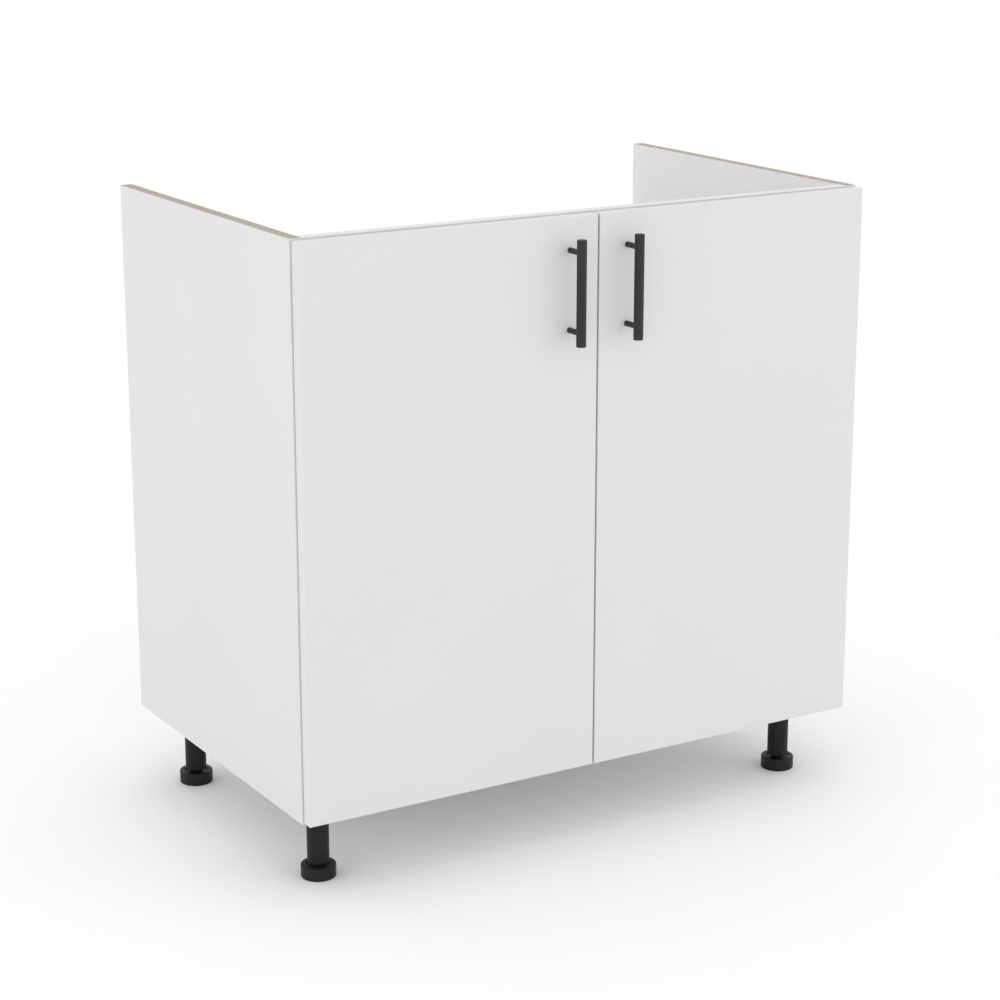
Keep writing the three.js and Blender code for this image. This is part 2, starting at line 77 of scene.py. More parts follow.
CAM_RADIUS = 7.5 * MM
CAM_DEPTH = 12.5 * MM
CAM_RECESS = (1.8 * MM, 3.4 * MM, 9 * MM)  # width, depth and span of its cross
CAM_RING = (6.1 * MM, 6.6 * MM)  # inner and outer radius of the groove in its face
CAM_RING_DEPTH = 0.35 * MM
CAM_POINTER_DEPTH = 0.5 * MM
BOLT_RADIUS = 3 * MM
BOLT_OVERLAP = 2 * MM  # how far the bolt runs into its cam

POST_ROUND = 0.25 * MM
HANDLE_SCREW_POCKET = 3.2 * MM
HANDLE_SCREW_SHANK = 1.9 * MM  # radius
HANDLE_SCREW_HEAD = 1.9 * MM  # height

CUP_RADIUS = 17.2 * MM
CUP_WALL = 1.2 * MM
CUP_FLANGE = 1.2 * MM  # thickness
CUP_FLANGE_WIDTH = 26 * MM
CUP_FLANGE_ROUND_OUT = 5 * MM  # its corners nearest the door's outer edge
CUP_FLANGE_ROUND_IN = 9 * MM
CUP_RIM = 0.5 * MM  # how far the cup's shell runs up into its flange
CUP_SCREW_CENTRES = 48 * MM
HINGE_PIN_RADIUS = 1.1 * MM
HINGE_PIN_PLAY = 0.15 * MM  # round a pin in an eye of the link
HINGE_PIN_BITE = 0.4 * MM  # how far the cup's pin runs into the cup's wall
LINK_THICKNESS = 2.2 * MM
LINK_BEND = 2.5 * MM  # radius of its bends
LINK_EYE_RADIUS = 2.6 * MM
LINK_HEEL = Vector((-2.5, -6.4)) * MM  # from the arm's pin
LINK_NECK = Vector((-6.2, -11.5)) * MM  # from the arm's pin
LINK_TOE = Vector((4.3, -3.7)) * MM  # from the cup's pin
ARM_WEB = 1.8 * MM
ARM_CHEEK = 2.5 * MM
ARM_NOSE_LENGTH = 14 * MM
ARM_NOSE_HEIGHT = 7 * MM
ARM_MOUTH = 4 * MM
ARM_SLOT_FROM_END = 13 * MM
ARM_SLOT_HALF_LENGTH = 6 * MM
ARM_SLOT_HALF_WIDTH = 2.6 * MM
ARM_SLOT_ROUND = 2.59 * MM  # just under its half width, so that each end is a half circle
FIXING_SCREW_BEHIND_SLOT = 2 * MM  # behind the slot's middle
ADJUSTING_SCREW_BEHIND_NOSE = 8 * MM
RIVET_RADIUS = 2.0 * MM
RIVET_HALF = 0.45 * MM  # half the height of a head, which sits astride the arm's cheek
RIVET_ROUND = 0.3 * MM
RIVET_SHANK_REACH = 0.1 * MM  # past the arm's cheeks
PLATE_THICKNESS = 3 * MM
PLATE_WING_HALF = 8 * MM
PLATE_WING_ROUND = 6.5 * MM
PLATE_RAIL_LENGTH = 34 * MM
PLATE_RAIL_HALF = 4.8 * MM
PLATE_SCREW_CENTRES = 32 * MM

COLUMN_BORE = 9.3 * MM  # radius
COLUMN_SOLID_END = 20 * MM  # what the bore leaves at the column's top
COLUMN_LIP = 0.7 * MM
STEM_RADIUS = 9 * MM
STEM_SUNK = 0.5 * MM  # into the foot's disc
THREAD_PITCH = 4 * MM
THREAD_DEPTH = 1.1 * MM
FOOT_HEIGHT = 16.5 * MM
FOOT_ROUND = 1.4 * MM
FOOT_RECESS = 15.25 * MM  # radius of the recess in the foot's top
FOOT_RECESS_DEPTH = 2 * MM
FOOT_RECESS_LEAN = 0.5 * MM  # how much narrower the recess is at its bottom
SOCKET_PLATE = 4 * MM
SOCKET_COLLAR = 14 * MM
SOCKET_WALL = 3 * MM
SOCKET_SCREWS = 4
SOCKET_SCREW_CIRCLE = 25 * MM
SOCKET_RIBS = 8
SOCKET_RIB_REACH = 27 * MM
SOCKET_RIB_DROP = 10 * MM
SOCKET_RIB_THICKNESS = 1.8 * MM

# ---------------------------------------------------------------- shader fields and finishes


class Field:
    """A number that varies over a surface: Python's operators on it add Math nodes."""

    def __init__(self, finish, socket):
        self.finish = finish
        self.socket = socket

    def maths(self, operation, *numbers):
        return self.finish.node("Math", {"operation": operation}, dict(enumerate(numbers)))

    def __add__(self, other):
        return self.maths("ADD", self, other)

    def __radd__(self, other):
        return self.maths("ADD", other, self)

    def __sub__(self, other):
        return self.maths("SUBTRACT", self, other)

    def __rsub__(self, other):
        return self.maths("SUBTRACT", other, self)

    def __mul__(self, other):
        return self.maths("MULTIPLY", self, other)

    def __rmul__(self, other):
        return self.maths("MULTIPLY", other, self)

    def __abs__(self):
        return self.maths("ABSOLUTE", self)

    def ramp(self, low, high):
        """0 below `low`, 1 above `high` and a smooth rise between them."""
        settings = {"interpolation_type": "SMOOTHSTEP"}
        sockets = {"Value": self, "From Min": low, "From Max": high}
        return self.finish.node("MapRange", settings, sockets)


class Finish:
    """One material, made of nodes. `node` adds any node and gives back its output."""

    def __init__(self, name):
        self.material = bpy.data.materials.new(name)
        self.material.use_nodes = True
        self.tree = self.material.node_tree
        self.tree.nodes.clear()
        self.place = self.node("TexCoord", output="Object")

    def node(self, kind, settings=None, sockets=None, output=0):
        made = self.tree.nodes.new("ShaderNode" + kind)
        for key, value in (settings or {}).items():
            setattr(made, key, value)
        for key, value in (sockets or {}).items():
            self.plug(self.socket(made.inputs, key), value)
        return Field(self, self.socket(made.outputs, output))

    @staticmethod
    def socket(sockets, key):
        if isinstance(key, int):
            return sockets[key]
        return next(s for s in sockets if key in (s.identifier, s.name))

    def plug(self, socket, value):
        if isinstance(value, Field):
            self.tree.links.new(value.socket, socket)
        elif isinstance(value, tuple) and len(socket.default_value) == 4:
            socket.default_value = (*value, 1)
        else:
            socket.default_value = value

    def noise(self, scale, detail=2, roughness=0.5, at=None, distortion=0):
        """A cloudy field from 0 to 1, with features of about 1 / `scale` metres."""
        sockets = {"Vector": at or self.place, "Scale": scale, "Detail": detail}
        sockets |= {"Roughness": roughness, "Distortion": distortion}
        return self.node("TexNoise", None, sockets, output="Fac")

    def stretched(self, scale):
        """The surface's place, stretched by `scale` along each axis."""
        settings = {"operation": "MULTIPLY"}
        return self.node("VectorMath", settings, {0: self.place, 1: scale})

    def along(self, axis):
        """The coordinate of the surface's place along one axis."""
        return self.node("SeparateXYZ", None, {"Vector": self.place}, output=axis)

    def mix(self, factor, first, second):
        """A colour between two others."""
        sockets = {"Factor_Float": factor, "A_Color": first, "B_Color": second}
        return self.node("Mix", {"data_type": "RGBA"}, sockets, output="Result_Color")

    def bump(self, height, distance):
        """A normal pushed about by `height`, which stands for up to `distance` of relief."""
        return self.node("Bump", None, {"Height": height, "Distance": distance})

    def shade(self, **sockets):
        """The material, ended by its surface shader."""
        named = {key.replace("_", " "): value for key, value in sockets.items()}
        surface = self.node("BsdfPrincipled", None, named)
        end = self.tree.nodes.new("ShaderNodeOutputMaterial")
        self.tree.links.new(surface.socket, end.inputs["Surface"])
        return self.material


def darker(tone, share):
    """A colour with each of its channels brought down to a share of itself."""
    return tuple(channel * share for channel in tone)


def white_melamine(name, white, roughness, pearl):
    """Melamine film: an even white with a faint pearl from the press plate and dull handling marks."""
    finish = Finish(name)
    cloud = finish.noise(3.5, detail=3)
    fibre = finish.noise(420, detail=3, roughness=0.6)
    smears = finish.noise(16, detail=4, distortion=0.8)
    grain = finish.noise(1300, detail=2)
    warm = (white[0] * 0.985, white[1] * 0.98, white[2] * 0.97)
    tone = finish.mix(cloud.ramp(0.3, 0.7), darker(white, 0.985), white)
    tone = finish.mix(fibre.ramp(0.62, 0.85) * 0.35, tone, warm)
    return finish.shade(
        Base_Color=tone,
        Roughness=roughness + 0.1 * (smears - 0.5) + 0.05 * (fibre - 0.5),
        Normal=finish.bump(grain + 0.6 * fibre, pearl * MM),
        Specular_IOR_Level=0.4,
    )


def raw_chipboard(name, axis, middle, half):
    """The sawn edge of a three-layer chipboard: coarse flakes in its core, fine dust near its faces.
    `axis` is the board's thickness, `middle` and `half` its middle plane and half thickness."""
    finish = Finish(name)
    pale, straw, tan = (0.575, 0.53, 0.45), (0.485, 0.435, 0.345), (0.35, 0.295, 0.22)
    # dark is the painted shade put in the gaps between flakes
    dark = (0.13, 0.105, 0.08)
    flake_scale, dust_scale = [260.0] * 3, [900.0] * 3
    flake_scale[axis], dust_scale[axis] = 1050.0, 1600.0
    across = abs(abs(finish.along("XYZ"[axis])) - middle)
    core = 1 - across.ramp(0.55 * half, 0.8 * half)

    drifting = {0: finish.stretched(flake_scale), 1: finish.noise(700, detail=2)}
    cells = {"Vector": finish.node("VectorMath", {"operation": "ADD"}, drifting), "Scale": 1.0}
    flakes = finish.node("TexVoronoi", None, cells, output="Color")
    to_edge = {"feature": "DISTANCE_TO_EDGE"}
    gaps = 1 - finish.node("TexVoronoi", to_edge, cells, output="Distance").ramp(0.0, 0.06)
    chip = finish.node("SeparateColor", None, {"Color": flakes}, output="Red")
    warm = finish.node("SeparateColor", None, {"Color": flakes}, output="Green")
    flake_tone = finish.mix(chip.ramp(0.15, 0.75), pale, straw)
    flake_tone = finish.mix(warm.ramp(0.72, 0.9) * 0.8, flake_tone, tan)
    # painted shade: the gaps between flakes, which the bump sinks, are darkened as crevices in shadow
    flake_tone = finish.mix(gaps * chip.ramp(0.4, 0.9) * 0.75, flake_tone, dark)

    dust = finish.noise(1.0, detail=3, roughness=0.7, at=finish.stretched(dust_scale))
    dust_tone = finish.mix(dust.ramp(0.35, 0.7), straw, pale)
    tone = finish.mix(core, dust_tone, flake_tone)
    tone = finish.mix(finish.noise(11, detail=2).ramp(0.35, 0.7) * 0.25, tone, straw)
    relief = core * (chip * 0.5 - gaps) + dust * 0.5
    return finish.shade(
        Base_Color=tone,
        Roughness=0.86 + 0.1 * (dust - 0.5),
        Normal=finish.bump(relief, 0.16 * MM),
        Specular_IOR_Level=0.2,
    )


def edging_strip_finish():
    """Plastic edging: smoother than the film, with fine rolling lines."""
    finish = Finish("white_edging")
    dull, bright = (0.715, 0.715, 0.713), (0.73, 0.73, 0.728)
    cloud = finish.noise(22, detail=2)
    rolled = finish.noise(1.0, detail=2, at=finish.stretched((900.0, 900.0, 60.0)))
    return finish.shade(
        Base_Color=finish.mix(cloud.ramp(0.3, 0.7), dull, bright),
        Roughness=0.36 + 0.12 * (rolled - 0.5),
        Normal=finish.bump(rolled, 0.012 * MM),
        Specular_IOR_Level=0.45,
    )


def moulded_plastic(name, tone, roughness):
    """Black moulded plastic: a spark-eroded grain, paler flow streaks and dust in the texture."""
    finish = Finish(name)
    pale = tuple(1.9 * c + 0.002 for c in tone)
    dusty = (0.06, 0.058, 0.055)
    grain = finish.noise(2600, detail=2, roughness=0.6)
    flow = finish.noise(1.0, detail=3, at=finish.stretched((70.0, 70.0, 18.0)), distortion=0.5)
    dust = finish.noise(330, detail=4, roughness=0.7)
    colour = finish.mix(flow.ramp(0.35, 0.75) * 0.55, tone, pale)
    colour = finish.mix(dust.ramp(0.62, 0.8) * 0.25, colour, dusty)
    return finish.shade(
        Base_Color=colour,
        Roughness=roughness + 0.16 * (flow - 0.5) + 0.08 * (grain - 0.5),
        Normal=finish.bump(grain, 0.02 * MM),
        Specular_IOR_Level=0.22,
    )


def powder_coat():
    """Matt black powder coat on the handles, with its fine orange peel and a duller bloom."""
    finish = Finish("black_powder_coat")
    black, bloomed, speck = (0.012, 0.012, 0.0122), (0.018, 0.018, 0.0184), (0.05, 0.05, 0.05)
    peel = finish.noise(1500, detail=2, roughness=0.45)
    bloom = finish.noise(36, detail=3)
    specks = finish.noise(4200, detail=1)
    colour = finish.mix(bloom.ramp(0.35, 0.7), black, bloomed)
    colour = finish.mix(specks.ramp(0.66, 0.78) * 0.3, colour, speck)
    return finish.shade(
        Base_Color=colour,
        Roughness=0.5 + 0.14 * (bloom - 0.5) + 0.1 * (peel - 0.5),
        Normal=finish.bump(peel, 0.03 * MM),
        Specular_IOR_Level=0.42,
    )


def plated_steel(name, tone, roughness, direction):
    """Pressed and plated steel: rolling lines along `direction` and a faint cloud in the plating."""
    finish = Finish(name)
    lines = finish.noise(1.0, detail=3, roughness=0.65, at=finish.stretched(direction))
    cloud = finish.noise(120, detail=3)
    spots = finish.noise(900, detail=2)
    colour = finish.mix(cloud.ramp(0.3, 0.75) * 0.6, tone, darker(tone, 0.8))
    colour = finish.mix(spots.ramp(0.68, 0.85) * 0.4, colour, darker(tone, 0.6))
    return finish.shade(
        Base_Color=colour,
        Metallic=1.0,
        Roughness=roughness + 0.14 * (lines - 0.5) + 0.12 * (cloud - 0.5),
        Normal=finish.bump(lines, 0.008 * MM),
    )


def zinc_casting():
    """The die-cast zinc of the cams: grey, mottled and slightly pitted."""
    finish = Finish("zinc_casting")
    dark, light = (0.36, 0.365, 0.375), (0.52, 0.525, 0.53)
    mottle = finish.noise(340, detail=4, roughness=0.6)
    pits = finish.noise(2400, detail=2)
    return finish.shade(
        Base_Color=finish.mix(mottle.ramp(0.3, 0.7), dark, light),
        Metallic=0.9,
        Roughness=0.46 + 0.2 * (mottle - 0.5),
        Normal=finish.bump(pits.ramp(0.3, 0.5), 0.02 * MM),
    )


def clear_bumper():
    """The soft, slightly milky plastic of the door bumpers."""
    finish = Finish("clear_bumper")
    milky, clear = (0.82, 0.83, 0.82), (0.9, 0.91, 0.9)
    haze = finish.noise(600, detail=2)
    return finish.shade(
        Base_Color=finish.mix(haze.ramp(0.3, 0.7), milky, clear),
        Roughness=0.22 + 0.15 * haze,
        Normal=finish.bump(haze, 0.02 * MM),
        Transmission_Weight=0.35,
        IOR=1.45,
    )


def pale_floor():
    """The matt paper that the cabinet stands on."""
    finish = Finish("pale_floor")
    return finish.shade(
        Base_Color=finish.mix(finish.noise(0.8, detail=2), (0.98, 0.98, 0.98), (0.985, 0.985, 0.985)),
        Roughness=0.9,
        Specular_IOR_Level=0.0,
    )


# ---------------------------------------------------------------- shaping

TURNS = {  # a shape's own third axis laid along X, Y or Z
    "x": Matrix(((0, 0, 1, 0), (1, 0, 0, 0), (0, 1, 0, 0), (0, 0, 0, 1))),
    "y": Matrix(((0, 1, 0, 0), (0, 0, 1, 0), (1, 0, 0, 0), (0, 0, 0, 1))),
    "z": Matrix.Identity(4),
}
SHARP_OVER = math.radians(30)  # an edge that bends more is rounded by `eased`
SMOOTH_UNDER = math.radians(38)  # an edge that bends less is shaded smooth


def laid(solid, axis="z", at=(0, 0, 0)):
    """The solid turned so that its own Z runs along `axis`, and moved to `at`."""
    bmesh.ops.transform(solid, matrix=Matrix.Translation(at) @ TURNS[axis], verts=solid.verts)
    return solid


def flipped(solid):
    """The solid turned upside down about X."""
    bmesh.ops.rotate(solid, matrix=Matrix.Rotation(math.pi, 3, "X"), verts=solid.verts)
    return solid


def mirrored(solid, side):
    """The left-hand solid, or its mirror image for the right."""
    if side == "right":
        bmesh.ops.scale(solid, vec=(-1, 1, 1), verts=solid.verts)
        bmesh.ops.reverse_faces(solid, faces=solid.faces)
    return solid


def block(low, high):
    """A straight block between two opposite corners."""
    low, high = Vector(low), Vector(high)
    solid = bmesh.new()
    bmesh.ops.create_cube(solid, size=1)
    bmesh.ops.scale(solid, vec=high - low, verts=solid.verts)
    bmesh.ops.translate(solid, vec=(low + high) / 2, verts=solid.verts)
    return solid


def softened(corners, steps):
    """A closed outline, each of whose corners [x, y, radius] is rounded by an arc of some steps."""
    points = []
    for i, (x, y, radius) in enumerate(corners):
        corner = Vector((x, y))
        back = Vector(corners[i - 1][:2]) - corner
        on = Vector(corners[(i + 1) % len(corners)][:2]) - corner
        if radius == 0 or min(back.length, on.length) == 0:
            points.append(corner)
            continue
        half = back.angle(on) / 2
        reach = min(radius / math.tan(half), 0.499 * back.length, 0.499 * on.length)
        radius = reach * math.tan(half)
        inwards = (back.normalized() + on.normalized()).normalized()
        middle = corner + inwards * radius / math.sin(half)
        start = corner + back.normalized() * reach - middle
        end = corner + on.normalized() * reach - middle
        sweep = start.angle_signed(end)
        for step in range(steps + 1):
            turn = Matrix.Rotation(-sweep * step / steps, 2)
            points.append(middle + turn @ start)
    return points


def prism(outline, low, high):
    """A flat outline in X and Y, raised from `low` to `high`."""
    solid = bmesh.new()
    floor = [solid.verts.new((*point, low)) for point in outline]
    roof = [solid.verts.new((*point, high)) for point in outline]
    solid.faces.new(roof)
    solid.faces.new(floor[::-1])
    for i, corner in enumerate(floor):
        solid.faces.new((floor[i - 1], corner, roof[i], roof[i - 1]))
    bmesh.ops.recalc_face_normals(solid, faces=solid.faces)
    return solid


def turned(corners, steps, sides):
    """A turned solid about Z. Its corners [radius, height, rounding] run from the axis round the
    solid and back to the axis, and each is rounded in some steps."""
    solid = bmesh.new()
    angles = [math.tau * i / sides for i in range(sides)]
    rings = []
    for radius, height in softened(corners, steps):
        if radius <= 0:
            rings.append([solid.verts.new((0, 0, height))] * sides)
        else:
            places = [(radius * math.cos(a), radius * math.sin(a), height) for a in angles]
            rings.append([solid.verts.new(place) for place in places])
    for low, high in zip(rings, rings[1:]):
        for i in range(sides):
            ring = [low[i - 1], low[i], high[i], high[i - 1]]
            solid.faces.new(list(dict.fromkeys(ring)))
    bmesh.ops.recalc_face_normals(solid, faces=solid.faces)
    return solid


def rod(radius, low, high, sides, ease=0):
    """A round rod along Z, whose rims may be eased."""
    corners = [(0, low, 0), (radius, low, ease), (radius, high, ease), (0, high, 0)]
    return turned(corners, 3, sides)


def as_object(solid):
    """A new object made of the solid, which is used up."""
    mesh = bpy.data.meshes.new("shape")
    solid.to_mesh(mesh)
    solid.free()
    made = bpy.data.objects.new("shape", mesh)
    bpy.context.collection.objects.link(made)
    return made


def together(operation, body, tools):
    """The body with its tools cut away (DIFFERENCE) or added (UNION)."""
    base = as_object(body)
    parts = [as_object(tool) for tool in tools]
    for part in parts:
        step = base.modifiers.new("step", "BOOLEAN")
        step.operation = operation
        step.solver = "EXACT"
        step.object = part
    graph = bpy.context.evaluated_depsgraph_get()
    mesh = bpy.data.meshes.new_from_object(base.evaluated_get(graph), depsgraph=graph)
    result = bmesh.new()
    result.from_mesh(mesh)
    for used in [base, *parts]:
        shape = used.data
        bpy.data.objects.remove(used)
        bpy.data.meshes.remove(shape)
    bpy.data.meshes.remove(mesh)
    return result


def cut(body, *tools):
    """The body less its tools."""
    return together("DIFFERENCE", body, tools)


def joined(body, *others):
    """The body and the others as one solid."""
    return together("UNION", body, others)


def gathered(*solids):
    """Several separate solids in one mesh."""
    result = bmesh.new()
    for solid in solids:
        mesh = bpy.data.meshes.new("shape")
        solid.to_mesh(mesh)
        solid.free()
        result.from_mesh(mesh)
        bpy.data.meshes.remove(mesh)
    return result


def edges_at(solid, places):
    """The edges that keep to some coordinates, given as {axis: coordinate}."""
    return [
        e
        for e in solid.edges
        if all(abs(v.co[axis] - place) < NEAR for v in e.verts for axis, place in places.items())
    ]


def rounded_off(solid, edges, width, steps):
    """The solid with some of its edges rounded over `width` in a few steps."""
    settings = {"offset": width, "segments": steps, "profile": 0.5, "clamp_overlap": True}
    bmesh.ops.bevel(solid, geom=edges, affect="EDGES", **settings)
    return solid


def eased(solid, width, steps=2):
    """The solid with its sharp edges rounded."""
    sharp = [e for e in solid.edges if e.is_manifold and e.calc_face_angle(0) > SHARP_OVER]
    return rounded_off(solid, sharp, width, steps)


def piece(name, solid, looks, body, stands_for=(), paint=None):
    """A finished piece, which rides on its body and is shaded smooth but for its sharp edges.
    `paint` gives the number of a face's look, among several looks."""
    for face in solid.faces:
        face.smooth = True
        face.material_index = paint(face) if paint else 0
    for edge in solid.edges:
        edge.smooth = edge.is_manifold and edge.calc_face_angle(0) < SMOOTH_UNDER
    made = as_object(solid)
    made.name = made.data.name = name
    for look in looks:
        made.data.materials.append(look)
    shading = made.modifiers.new("even_shading", "WEIGHTED_NORMAL")
    shading.keep_sharp = True
    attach(made, body)
    if stands_for:
        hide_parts(*stands_for)


# ---------------------------------------------------------------- places read from the frame

SIDE_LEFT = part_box("side_panel_left")
DOOR_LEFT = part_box("door_left")
PINS = {joint["name"]: Vector(joint["pos_m"]) for joint in frame["joints"] if "pos_m" in joint}
ARM_PIN = PINS["left_hinge_arm_pins"].xy
CUP_PIN = PINS["left_door_swing"].xy


def centre_of(node):
    """The middle of a solid's box."""
    low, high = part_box(node)
    return (low + high) / 2


# ---------------------------------------------------------------- the finishes of this cabinet

BOARD_HALF = (SIDE_LEFT[1].x - SIDE_LEFT[0].x) / 2  # every board and door is as thick
FILM = white_melamine("white_melamine", (0.73, 0.73, 0.727), 0.46, 0.02)
# a brighter copy of the film for the side panels' inner faces: painted light, lifting the shaded inside
# of the carcass
INNER_FILM_PAINTED_LIGHT = white_melamine("white_inner_melamine_painted_light", (0.81, 0.81, 0.807), 0.46, 0.02)
DOOR_FILM = white_melamine("white_door_film", (0.73, 0.73, 0.728), 0.42, 0.009)
STRIP = edging_strip_finish()
CHIPS = {
    name: raw_chipboard("raw_chipboard_" + name, axis, abs(centre_of(node)[axis]), BOARD_HALF)
    for name, node, axis in (
        ("side_panel", "side_panel_left", 0),
        ("bottom_panel", "bottom_panel", 2),
        ("front_rail", "front_rail", 1),
        ("rear_rail", "rear_rail", 1),
        ("rear_kick_rail", "rear_kick_rail", 1),
        ("door", "door_left", 1),
    )
}
LEG_PLASTIC = moulded_plastic("black_leg_plastic", (0.0085, 0.0083, 0.0078), 0.5)
FOOT_PLASTIC = moulded_plastic("black_foot_plastic", (0.0118, 0.0115, 0.0108), 0.47)
SOCKET_PLASTIC = moulded_plastic("black_socket_plastic", (0.010, 0.0098, 0.0095), 0.56)
HANDLE_COAT = powder_coat()
HINGE_STEEL = plated_steel("nickel_plated_steel", (0.64, 0.625, 0.595), 0.27, (160.0, 160.0, 1900.0))
PIN_STEEL = plated_steel("bright_pin_steel", (0.7, 0.7, 0.69), 0.2, (1500.0, 1500.0, 90.0))
SCREW_STEEL = plated_steel("zinc_plated_screws", (0.66, 0.67, 0.68), 0.3, (1200.0, 300.0, 1200.0))
CAM_ZINC = zinc_casting()
BUMPER_PLASTIC = clear_bumper()

# ---------------------------------------------------------------- edging strips


def strip_block(low, high, axis, sign):
    """The strip along one side of a box, and the coordinate of its outer face."""
    strip_low, strip_high = low.copy(), high.copy()
    if sign > 0:
        strip_low[axis] = high[axis] - EDGING
    else:
        strip_high[axis] = low[axis] + EDGING
    return block(strip_low, strip_high), (high if sign > 0 else low)[axis]


def board_strip(low, high, axis, sign, thickness):
    """The edging on one edge of a board, with its two long outer corners rounded."""
    solid, outer = strip_block(low, high, axis, sign)
    edges = []
    for face in (low, high):
        edges += edges_at(solid, {axis: outer, thickness: face[thickness]})
    return rounded_off(solid, edges, EDGING_ROUND, 3)


def door_strip(low, high, axis, sign):
    """The edging on one edge of a door, rounded more at the door's front than at its back."""
    solid, outer = strip_block(low, high, axis, sign)
    for y, width in ((low.y, DOOR_ROUND), (high.y, DOOR_BACK_ROUND)):
        rounded_off(solid, edges_at(solid, {axis: outer, 1: y}), width, 5)
    return solid


# ---------------------------------------------------------------- boards and cams


def board(node, chips, thickness, strips, bores=()):
    """A chipboard panel with melamine on its two faces and its edges left raw but for some strips.
    `thickness` is the axis of its thickness, and a strip is given by the axis and the sign of the
    way it faces. A side panel's inner faces take a brighter copy of the film: painted light for the
    shaded inside of the carcass."""
    low, high = (corner.copy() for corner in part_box(node))
    for i, (axis, sign) in enumerate(strips):
        edging = board_strip(low, high, axis, sign, thickness)
        if sign > 0:
            high[axis] -= EDGING
        else:
            low[axis] += EDGING
        piece(f"edging_{i + 1}_of_{node}", edging, [STRIP], "root")
    solid = eased(block(low, high), SAWN_EASE, 1)
    if bores:
        solid = cut(solid, *bores)
    is_side = thickness == 0
    looks = [FILM, chips, INNER_FILM_PAINTED_LIGHT] if is_side else [FILM, chips]

    def paint(face):
        place = face.calc_center_median()
        depth = min(place[thickness] - low[thickness], high[thickness] - place[thickness])
        if abs(face.normal[thickness]) <= FACING or depth > SAWN_EASE:
            return looks.index(chips)
        # a side panel's inner faces get the brighter film: painted light
        inwards = face.normal.x * place.x < 0
        return looks.index(INNER_FILM_PAINTED_LIGHT if is_side and inwards else FILM)

    piece(node, solid, looks, "root", [node], paint)


def cam_centre(node):
    """The middle of a cam: its box also holds the bolt, which runs out towards the side panel."""
    centre = centre_of(node)
    low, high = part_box(node)
    inner = high.x if centre.x < 0 else low.x
    centre.x = inner - CAM_RADIUS * math.copysign(1, -centre.x)
    return centre


def cam_face(node):
    """The axis that a cam turns on, the way it faces and where its face lies."""
    low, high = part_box(node)
    size = high - low
    axis = 1 if size.y < size.z else 2
    sign = 1 if node.startswith("cam_front_rail") else -1
    return axis, sign, (high if sign > 0 else low)[axis]


def cam_bore(node):
    """The bore for one cam, open on the face that the cam is level with."""
    axis, sign, face = cam_face(node)
    start = cam_centre(node)
    start[axis] = 0
    low, high = sorted((face - (CAM_DEPTH + BORE_PLAY) * sign, face + BORE_MOUTH * sign))
    return laid(rod(CAM_RADIUS + BORE_PLAY, low, high, 48), "xyz"[axis], start)


CAMS = {
    "front_rail": ("front_rail",),
    "rear_rail": ("rear_rail",),
    "rear_kick_rail": ("rear_kick",),
    "bottom_panel": ("bottom_front", "bottom_rear"),
}


def carcass():
    """The side panels, and the bottom panel and rails, which are bored for their cams."""
    for side in SIDES:
        board("side_panel_" + side, CHIPS["side_panel"], 0, [(1, -1)])
    for node, thickness, strips in (
        ("bottom_panel", 2, [(1, -1)]),
        ("front_rail", 1, [(2, 1), (2, -1)]),
        ("rear_rail", 1, [(2, 1)]),
        ("rear_kick_rail", 1, [(2, 1)]),
    ):
        bores = [cam_bore(f"cam_{cam}_{side}") for cam in CAMS[node] for side in SIDES]
        board(node, CHIPS[node], thickness, strips, bores)


def cross_recess(width, depth, span):
    """The cutter for a cross recess whose mouth lies at height 0: two tapered blades."""
    blades = []
    for turn in (0, math.pi / 2):
        blade = block((-width / 2, -span / 2, -depth), (width / 2, span / 2, depth))
        for v in blade.verts:
            if v.co.z < 0:
                v.co.x *= RECESS_TAPER
                v.co.y *= RECESS_TAPER
        bmesh.ops.rotate(blade, matrix=Matrix.Rotation(turn, 3, "Z"), verts=blade.verts)
        blades.append(blade)
    return joined(*blades)


def cam(node):
    """A cam with a cross recess, a groove and a pointer in its face, and the bolt that it pulls."""
    axis, sign, face = cam_face(node)
    centre = cam_centre(node)
    disc = rod(CAM_RADIUS, -CAM_DEPTH, 0, 48, PRESSED_ROUND)
    base, tip, half = -5.9 * MM, -4.9 * MM, 0.9 * MM
    pointer = prism([(base, -half), (tip, 0), (base, half)], -CAM_POINTER_DEPTH, MM)
    inner, outer = CAM_RING
    groove = cut(rod(outer, -CAM_RING_DEPTH, MM, 48), rod(inner, -MM, 2 * MM, 48))
    disc = cut(disc, cross_recess(*CAM_RECESS), pointer, groove)
    if sign < 0:
        flipped(disc)
    at = centre.copy()
    at[axis] = face
    laid(disc, "xyz"[axis], at)

    low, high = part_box(node)
    outer_end = low.x if centre.x < 0 else high.x
    inner_end = centre.x - math.copysign(CAM_RADIUS - BOLT_OVERLAP, -centre.x)
    bolt = rod(BOLT_RADIUS, *sorted((outer_end, inner_end)), 24, PRESSED_ROUND)
    laid(bolt, "x", (0, centre.y, centre.z))
    piece(node, gathered(disc, bolt), [CAM_ZINC], "root", [node])


def screw_head(radius, height):
    """A raised screw head with a cross recess, on the plane at height 0 and sunk a little into it."""
    sunk, rim = -0.4 * height, 0.35 * height
    corners = [(0, sunk, 0), (radius, sunk, 0), (radius, rim, 0.3 * height)]
    corners += [(0.62 * radius, height, 0.6 * height), (0, height, 0)]
    recess = cross_recess(0.34 * radius, 0.85 * height, 1.3 * radius)
    return cut(turned(corners, 4, 36), laid(recess, at=(0, 0, height)))


# ---------------------------------------------------------------- doors


